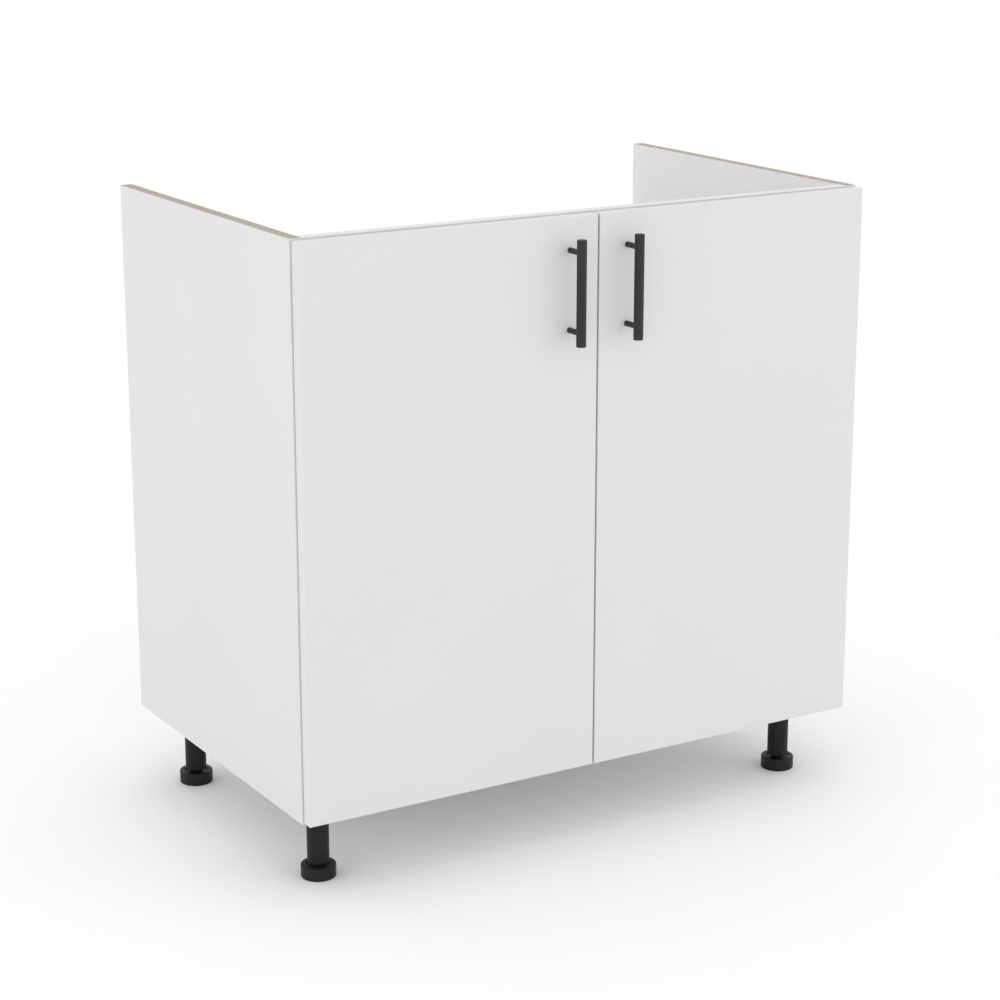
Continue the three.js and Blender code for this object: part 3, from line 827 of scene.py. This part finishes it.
def door_bores():
    """The cutters for the left door's hinge cups and for the heads of its handle screws."""
    back = DOOR_LEFT[1].y
    tools = []
    for end in ENDS:
        low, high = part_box(f"hinge_cup_{end}_left")
        bore = rod(CUP_RADIUS + BORE_PLAY, low.y - BORE_PLAY, back + MM, 64)
        tools.append(laid(bore, "y", (low.x + CUP_RADIUS, 0, (low.z + high.z) / 2)))
        low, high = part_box(f"handle_screw_{end}_left")
        pocket = rod((high.x - low.x) / 2 + BORE_PLAY, back - HANDLE_SCREW_POCKET, back + MM, 40)
        tools.append(laid(pocket, "y", ((low.x + high.x) / 2, 0, (low.z + high.z) / 2)))
    return tools


def door(side):
    """A slab with film on its front and its back and a strip of edging on each of its edges."""
    node = "door_" + side
    body = side + "_door"
    low, high = DOOR_LEFT
    slab_low, slab_high = low.copy(), high.copy()
    for axis in (0, 2):
        slab_low[axis] += EDGING
        slab_high[axis] -= EDGING
    slab = mirrored(cut(block(slab_low, slab_high), *door_bores()), side)
    looks = [DOOR_FILM, CHIPS["door"]]

    def paint(face):
        y = face.calc_center_median().y
        on_face = min(y - low.y, high.y - y) < ON_FACE and abs(face.normal.y) > FACING
        return looks.index(DOOR_FILM if on_face else CHIPS["door"])

    piece(node, slab, looks, body, [node], paint)
    for name, axis, sign in (("outer", 0, -1), ("meeting", 0, 1), ("top", 2, 1), ("bottom", 2, -1)):
        strip_low, strip_high = low.copy(), high.copy()
        if axis == 2:  # these strips end at the upright ones
            strip_low.x, strip_high.x = slab_low.x, slab_high.x
        strip = mirrored(door_strip(strip_low, strip_high, axis, sign), side)
        piece(f"{node}_{name}_edging", strip, [STRIP], body)


def bumper(end, side):
    """The soft dome stuck on the door's back, which meets the carcass."""
    node = f"door_bumper_{end}_{side}"
    low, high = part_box(f"door_bumper_{end}_left")
    radius, height = (high.x - low.x) / 2, high.y - low.y
    corners = [(0, 0, 0), (radius, 0, 0), (radius, 0.45 * height, 0.3 * MM)]
    corners += [(0.6 * radius, height, 1.6 * MM), (0, height, 0)]
    at = ((low.x + high.x) / 2, low.y, (low.z + high.z) / 2)
    solid = mirrored(laid(turned(corners, 6, 40), "y", at), side)
    piece(node, solid, [BUMPER_PLASTIC], side + "_door", [node])


# ---------------------------------------------------------------- handles


def handle_bar(side):
    """The upright bar that is gripped."""
    node = "handle_bar_" + side
    low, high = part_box("handle_bar_left")
    centre = centre_of("handle_bar_left")
    bar = rod((high.x - low.x) / 2, low.z, high.z, 64, DOOR_ROUND)
    solid = mirrored(laid(bar, "z", (centre.x, centre.y, 0)), side)
    piece(node, solid, [HANDLE_COAT], side + "_door", [node])


def handle_post(end, side):
    """The post between the bar and the door's front."""
    node = f"handle_post_{end}_{side}"
    low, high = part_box(f"handle_post_{end}_left")
    centre = centre_of(f"handle_post_{end}_left")
    post = rod((high.x - low.x) / 2, low.y, high.y, 48, POST_ROUND)
    solid = mirrored(laid(post, "y", (centre.x, 0, centre.z)), side)
    piece(node, solid, [HANDLE_COAT], side + "_door", [node])


def handle_screw(end, side):
    """The screw that holds a handle's post from the door's back."""
    node = f"handle_screw_{end}_{side}"
    low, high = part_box(f"handle_screw_{end}_left")
    centre = centre_of(f"handle_screw_{end}_left")
    seat = high.y - HANDLE_SCREW_HEAD
    shank = rod(HANDLE_SCREW_SHANK, low.y, seat, 24, PRESSED_ROUND)
    head = laid(screw_head((high.x - low.x) / 2, HANDLE_SCREW_HEAD), at=(0, 0, seat))
    solid = laid(gathered(shank, head), "y", (centre.x, 0, centre.z))
    piece(node, mirrored(solid, side), [SCREW_STEEL], side + "_door", [node])


def handle(side):
    """A bar on two posts, each with its screw."""
    handle_bar(side)
    for end in ENDS:
        handle_post(end, side)
        handle_screw(end, side)


# ---------------------------------------------------------------- concealed hinges


def hinge_screw(name, kind, axis, at, side, body="root"):
    """One raised screw on a hinge, facing along `axis`."""
    head = mirrored(laid(screw_head(*SCREW_HEADS[kind]), axis, at), side)
    piece(name, head, [SCREW_STEEL], body)


def hinge_cup(end, side):
    """The pressed cup in the door's back, with its screwed flange and the pin that its link turns on."""
    node = f"hinge_cup_{end}_{side}"
    body = side + "_door"
    low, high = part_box(f"hinge_cup_{end}_left")
    x, z = low.x + CUP_RADIUS, (low.z + high.z) / 2
    back = high.y - CUP_FLANGE
    inner = CUP_RADIUS - CUP_WALL
    shell_corners = [
        (0, low.y, 0),
        (CUP_RADIUS, low.y, 2.2 * MM),
        (CUP_RADIUS, back + CUP_RIM, 0.2 * MM),
        (inner, back + CUP_RIM, 0.3 * MM),
        (inner, low.y + CUP_WALL, 1.6 * MM),
        (0, low.y + CUP_WALL, 0),
    ]
    flange_left = high.x - CUP_FLANGE_WIDTH
    flange_corners = [
        (low.z, flange_left, CUP_FLANGE_ROUND_OUT),
        (low.z, high.x, CUP_FLANGE_ROUND_IN),
        (high.z, high.x, CUP_FLANGE_ROUND_IN),
        (high.z, flange_left, CUP_FLANGE_ROUND_OUT),
    ]
    shell = laid(turned(shell_corners, 4, 64), "y", (x, 0, z))
    mouth = laid(rod(inner, back - MM, high.y + MM, 64), "y", (x, 0, z))
    flange = laid(prism(softened(flange_corners, 6), back, high.y), "y")
    flange = eased(cut(flange, mouth), 0.3 * MM)
    reach = inner + HINGE_PIN_BITE
    pin = laid(rod(HINGE_PIN_RADIUS, z - reach, z + reach, 24), at=(*CUP_PIN, 0))
    solid = mirrored(gathered(shell, flange, pin), side)
    piece(node, solid, [HINGE_STEEL], body, [node])
    for sign, place in ((1, "top"), (-1, "bottom")):
        at = ((flange_left + high.x) / 2, high.y, z + sign * CUP_SCREW_CENTRES / 2)
        hinge_screw(f"{place}_screw_of_{node}", "cup", "y", at, side, body)


def link_outline(path):
    """The outline of a strip of even thickness that follows `path` round its bends."""
    sides = ([], [])
    for i, point in enumerate(path):
        steps = [(a, b) for a, b in zip(path, path[1:]) if point in (a, b)]
        ways = [(b - a).normalized() for a, b in steps]
        way = sum(ways, Vector((0, 0))).normalized()
        normal = Vector((-way.y, way.x))
        lean = max(normal.dot(Vector((-ways[0].y, ways[0].x))), 0.5)
        bend = LINK_BEND if 0 < i < len(path) - 1 else 0
        for k, sign in enumerate((1, -1)):
            offset = point + normal * sign * LINK_THICKNESS / 2 / lean
            sides[k].append((offset.x, offset.y, bend))
    return softened(sides[0] + sides[1][::-1], 5)


def hinge_link(end, side):
    """The gooseneck link between the arm's pin and the cup's pin, with an eye round each."""
    node = f"hinge_link_{end}_{side}"
    low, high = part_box(f"hinge_link_{end}_left")
    path = [ARM_PIN, ARM_PIN + LINK_HEEL, ARM_PIN + LINK_NECK, CUP_PIN + LINK_TOE, CUP_PIN]
    solid = prism(link_outline(path), low.z, high.z)
    pins = [(*pin, 0) for pin in (ARM_PIN, CUP_PIN)]
    hole = HINGE_PIN_RADIUS + HINGE_PIN_PLAY
    eyes = [laid(rod(LINK_EYE_RADIUS, low.z, high.z, 32), at=pin) for pin in pins]
    holes = [laid(rod(hole, low.z - MM, high.z + MM, 24), at=pin) for pin in pins]
    solid = eased(cut(joined(solid, *eyes), *holes), 0.25 * MM)
    piece(node, mirrored(solid, side), [HINGE_STEEL], side + "_hinge_links", [node])


def arm_channel(low, high, slot_y):
    """The arm's pressed channel, stepped up behind its nose and slotted for its fixing screw."""
    z = (low.z + high.z) / 2
    nose = high.x - ARM_NOSE_HEIGHT
    step = low.y + ARM_NOSE_LENGTH
    outline = [
        (nose, low.y, 2.4 * MM),
        (high.x, low.y, 3.0 * MM),
        (high.x, high.y, 4 * MM),
        (low.x, high.y, 0.8 * MM),
        (low.x, step + (nose - low.x), 3 * MM),
        (nose, step, 3 * MM),
    ]
    channel = prism(softened(outline, 5), low.z, high.z)
    gap_low, gap_high = low.z + ARM_CHEEK, high.z - ARM_CHEEK
    inside = block((low.x - MM, low.y - MM, gap_low), (high.x - ARM_WEB, high.y + MM, gap_high))
    mouth = block((nose - MM, low.y - MM, gap_low), (high.x + MM, ARM_PIN.y + ARM_MOUTH, gap_high))
    slot_corners = [
        (slot_y + along * ARM_SLOT_HALF_LENGTH, z + across * ARM_SLOT_HALF_WIDTH, ARM_SLOT_ROUND)
        for along, across in ((-1, -1), (1, -1), (1, 1), (-1, 1))
    ]
    slot = laid(prism(softened(slot_corners, 6), high.x - 2 * ARM_WEB, high.x + MM), "x")
    return eased(cut(channel, inside, mouth, slot), 0.4 * MM)


def arm_pin(low, high):
    """The riveted pin through the arm's nose."""
    shank = rod(HINGE_PIN_RADIUS, low.z - RIVET_SHANK_REACH, high.z + RIVET_SHANK_REACH, 24)
    heads = [
        laid(rod(RIVET_RADIUS, -RIVET_HALF, RIVET_HALF, 24, RIVET_ROUND), at=(0, 0, cheek))
        for cheek in (low.z, high.z)
    ]
    return laid(gathered(shank, *heads), at=(*ARM_PIN, 0))


def hinge_arm(end, side):
    """The arm on the mounting plate, with its pin, its fixing screw and its adjusting screw."""
    node = f"hinge_arm_{end}_{side}"
    low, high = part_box(f"hinge_arm_{end}_left")
    z = (low.z + high.z) / 2
    slot_y = high.y - ARM_SLOT_FROM_END
    channel = mirrored(arm_channel(low, high, slot_y), side)
    pin = mirrored(arm_pin(low, high), side)
    piece(node, channel, [HINGE_STEEL], "root", [node])
    piece("pin_of_" + node, pin, [PIN_STEEL], "root")
    for kind, y in (
        ("fixing", slot_y + FIXING_SCREW_BEHIND_SLOT),
        ("adjusting", low.y + ARM_NOSE_LENGTH + ADJUSTING_SCREW_BEHIND_NOSE),
    ):
        hinge_screw(f"{kind}_screw_of_{node}", kind, "x", (high.x, y, z), side)


def hinge_plate(end, side):
    """The winged mounting plate on the side panel, with the rail that the arm slides on."""
    node = f"hinge_plate_{end}_{side}"
    low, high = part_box(f"hinge_plate_{end}_left")
    y, z = (low.y + high.y) / 2, (low.z + high.z) / 2
    top = low.x + PLATE_THICKNESS
    wing_corners = [
        (y - PLATE_WING_HALF, low.z, PLATE_WING_ROUND),
        (y + PLATE_WING_HALF, low.z, PLATE_WING_ROUND),
        (y + PLATE_WING_HALF, high.z, PLATE_WING_ROUND),
        (y - PLATE_WING_HALF, high.z, PLATE_WING_ROUND),
    ]
    wing = laid(prism(softened(wing_corners, 6), low.x, top), "x")
    rail = block(
        (low.x, y - PLATE_RAIL_LENGTH / 2, z - PLATE_RAIL_HALF),
        (high.x, y + PLATE_RAIL_LENGTH / 2, z + PLATE_RAIL_HALF),
    )
    solid = eased(joined(wing, rail), 0.4 * MM)
    piece(node, mirrored(solid, side), [HINGE_STEEL], "root", [node])
    for sign, place in ((1, "top"), (-1, "bottom")):
        at = (top, y, z + sign * PLATE_SCREW_CENTRES / 2)
        hinge_screw(f"{place}_screw_of_{node}", "plate", "x", at, side)


# ---------------------------------------------------------------- legs


def threaded_stem(low, high):
    """The foot's moulded thread: a rod with plain ends, whose radius swells and sinks along a helix
    between a flat crest and a flat root."""
    sides, steps_per_turn = 40, 8
    solid = bmesh.new()
    rows = round((high - low) / THREAD_PITCH * steps_per_turn)
    rings = []
    for row in range(rows + 1):
        height = low + (high - low) * row / rows
        ring = []
        for i in range(sides):
            turn = i / sides
            wave = abs(2 * ((height / THREAD_PITCH - turn) % 1) - 1)
            radius = STEM_RADIUS - THREAD_DEPTH * min(max(1.5 * wave - 0.25, 0), 1)
            angle = math.tau * turn
            ring.append(solid.verts.new((radius * math.cos(angle), radius * math.sin(angle), height)))
        rings.append(ring)
    for lower, upper in zip(rings, rings[1:]):
        for i in range(sides):
            solid.faces.new((lower[i - 1], lower[i], upper[i], upper[i - 1]))
    solid.faces.new(rings[0][::-1])
    solid.faces.new(rings[-1])
    bmesh.ops.recalc_face_normals(solid, faces=solid.faces)
    return solid


def leg_foot(where, side):
    """The foot's disc, recessed in its top, and the stem that screws into the column."""
    node = f"leg_foot_{where}_{side}"
    low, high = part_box(node)
    centre = centre_of(node)
    radius = (high.x - low.x) / 2
    recess_floor = FOOT_HEIGHT - FOOT_RECESS_DEPTH
    corners = [
        (0, 0, 0),
        (radius, 0, FOOT_ROUND),
        (radius, FOOT_HEIGHT, FOOT_ROUND),
        (FOOT_RECESS, FOOT_HEIGHT, 0.5 * MM),
        (FOOT_RECESS - FOOT_RECESS_LEAN, recess_floor, 0.6 * MM),
        (0, recess_floor, 0),
    ]
    solid = gathered(turned(corners, 5, 72), threaded_stem(recess_floor - STEM_SUNK, high.z))
    laid(solid, at=(centre.x, centre.y, 0))
    piece(node, solid, [FOOT_PLASTIC], f"{where}_{side}_foot", [node])


def leg_column(where, side):
    """The column in its socket, bored from below for the foot's stem."""
    node = f"leg_column_{where}_{side}"
    low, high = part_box(node)
    centre = centre_of(node)
    radius = (high.x - low.x) / 2
    bore_end = high.z - COLUMN_SOLID_END
    corners = [
        (0, bore_end, 0),
        (COLUMN_BORE, bore_end, 0.8 * MM),
        (COLUMN_BORE, low.z, 0.4 * MM),
        (radius, low.z, COLUMN_LIP),
        (radius, high.z, 0.3 * MM),
        (0, high.z, 0),
    ]
    solid = laid(turned(corners, 4, 72), at=(centre.x, centre.y, 0))
    piece(node, solid, [LEG_PLASTIC], "root", [node])


def socket_ribs(plate, collar):
    """The ribs between a socket's plate and its collar, of radius `collar`."""
    outline = [
        (collar - MM, plate + MM, 0),
        (SOCKET_RIB_REACH, plate + MM, 0),
        (SOCKET_RIB_REACH, plate - MM, 0.8 * MM),
        (collar, plate - SOCKET_RIB_DROP, 1.5 * MM),
        (collar - MM, plate - SOCKET_RIB_DROP, 0),
    ]
    half = SOCKET_RIB_THICKNESS / 2
    upright = Matrix.Rotation(math.pi / 2, 4, "X")
    ribs = []
    for i in range(SOCKET_RIBS):
        rib = prism(softened(outline, 3), -half, half)
        spin = Matrix.Rotation(math.tau * (i + 0.5) / SOCKET_RIBS, 4, "Z")
        bmesh.ops.transform(rib, matrix=spin @ upright, verts=rib.verts)
        ribs.append(rib)
    return ribs


def leg_socket(where, side):
    """The socket under the bottom panel: a screwed plate, a collar and the ribs between them."""
    node = f"leg_socket_{where}_{side}"
    low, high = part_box(node)
    centre = centre_of(node)
    plate_radius = (high.x - low.x) / 2
    plate = high.z - SOCKET_PLATE
    column_low, column_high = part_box(f"leg_column_{where}_{side}")
    inner = (column_high.x - column_low.x) / 2 + BORE_PLAY
    collar = inner + SOCKET_WALL
    corners = [
        (0, plate, 0),
        (inner, plate, 0),
        (inner, plate - SOCKET_COLLAR, 0.8 * MM),
        (collar, plate - SOCKET_COLLAR, 0.8 * MM),
        (collar, plate, 1.2 * MM),
        (plate_radius, plate, 1.2 * MM),
        (plate_radius, high.z, 0.3 * MM),
        (0, high.z, 0),
    ]
    solid = gathered(turned(corners, 4, 72), *socket_ribs(plate, collar))
    laid(solid, at=(centre.x, centre.y, 0))
    piece(node, solid, [SOCKET_PLASTIC], "root", [node])
    for i in range(SOCKET_SCREWS):
        angle = math.tau * i / SOCKET_SCREWS
        at = centre + Vector((math.cos(angle), math.sin(angle), 0)) * SOCKET_SCREW_CIRCLE
        head = laid(flipped(screw_head(*SCREW_HEADS["socket"])), at=(at.x, at.y, plate))
        piece(f"screw_{i + 1}_of_{node}", head, [SCREW_STEEL], "root")


# ---------------------------------------------------------------- floor, light and camera

FLOOR_HALF = 60
FLOOR_THICKNESS = 0.02
SURROUND = 1.02  # strength of the white surround
SOFT_LIGHTS = (  # name, place, width and power in watts
    ("right_softbox", Vector((2.9, -2.9, 1.5)), 1.4, 8),
    ("left_softbox", Vector((-3.4, -0.4, 1.5)), 1.4, 5),
)
LIGHT_AIM = Vector((0, 0, 0.4))

FRAME_WIDTH = 1000  # pixels
FOCAL_PIXELS = 2486.3  # the focal length, in pixels of a picture that wide
SENSOR = 36  # width in millimetres, which the lens is given in too
CAMERA_PLACE = Vector((-1.6096, -2.6783, 1.2573))
CAMERA_YAW = math.radians(-31.05)
CAMERA_PITCH = math.radians(15.52)


def studio():
    """A plain pale floor, an even white surround and two wide soft lights."""
    corner = Vector((FLOOR_HALF, FLOOR_HALF, 0))
    floor = as_object(block(-corner - Vector((0, 0, FLOOR_THICKNESS)), corner))
    floor.name = floor.data.name = "floor"
    floor.data.materials.append(pale_floor())

    scene = bpy.context.scene
    world = bpy.data.worlds.new("white_surround")
    scene.world = world
    world.use_nodes = True
    background = world.node_tree.nodes["Background"].inputs
    background["Color"].default_value = (1, 1, 1, 1)
    background["Strength"].default_value = SURROUND
    scene.view_settings.view_transform = "Standard"
    for name, place, width, power in SOFT_LIGHTS:
        data = bpy.data.lights.new(name, "AREA")
        data.shape = "SQUARE"
        data.size = width
        data.energy = power
        light = bpy.data.objects.new(name, data)
        scene.collection.objects.link(light)
        light.location = place
        light.rotation_euler = (LIGHT_AIM - light.location).to_track_quat("-Z", "Y").to_euler()


def camera():
    """The camera, level in roll and looking down at the cabinet's left front corner."""
    data = bpy.data.cameras.new("camera")
    data.sensor_width = SENSOR
    data.lens = FOCAL_PIXELS * SENSOR / FRAME_WIDTH
    made = bpy.data.objects.new("camera", data)
    bpy.context.scene.collection.objects.link(made)
    made.location = CAMERA_PLACE
    made.rotation_euler = (math.pi / 2 - CAMERA_PITCH, 0, CAMERA_YAW)
    bpy.context.scene.camera = made


# ---------------------------------------------------------------- the whole cabinet

carcass()
for cams in CAMS.values():
    for side in SIDES:
        for name in cams:
            cam(f"cam_{name}_{side}")
for side in SIDES:
    door(side)
    handle(side)
    for end in ENDS:
        bumper(end, side)
        hinge_cup(end, side)
        hinge_link(end, side)
        hinge_arm(end, side)
        hinge_plate(end, side)
    for where in PLACES:
        leg_foot(where, side)
        leg_column(where, side)
        leg_socket(where, side)
studio()
camera()
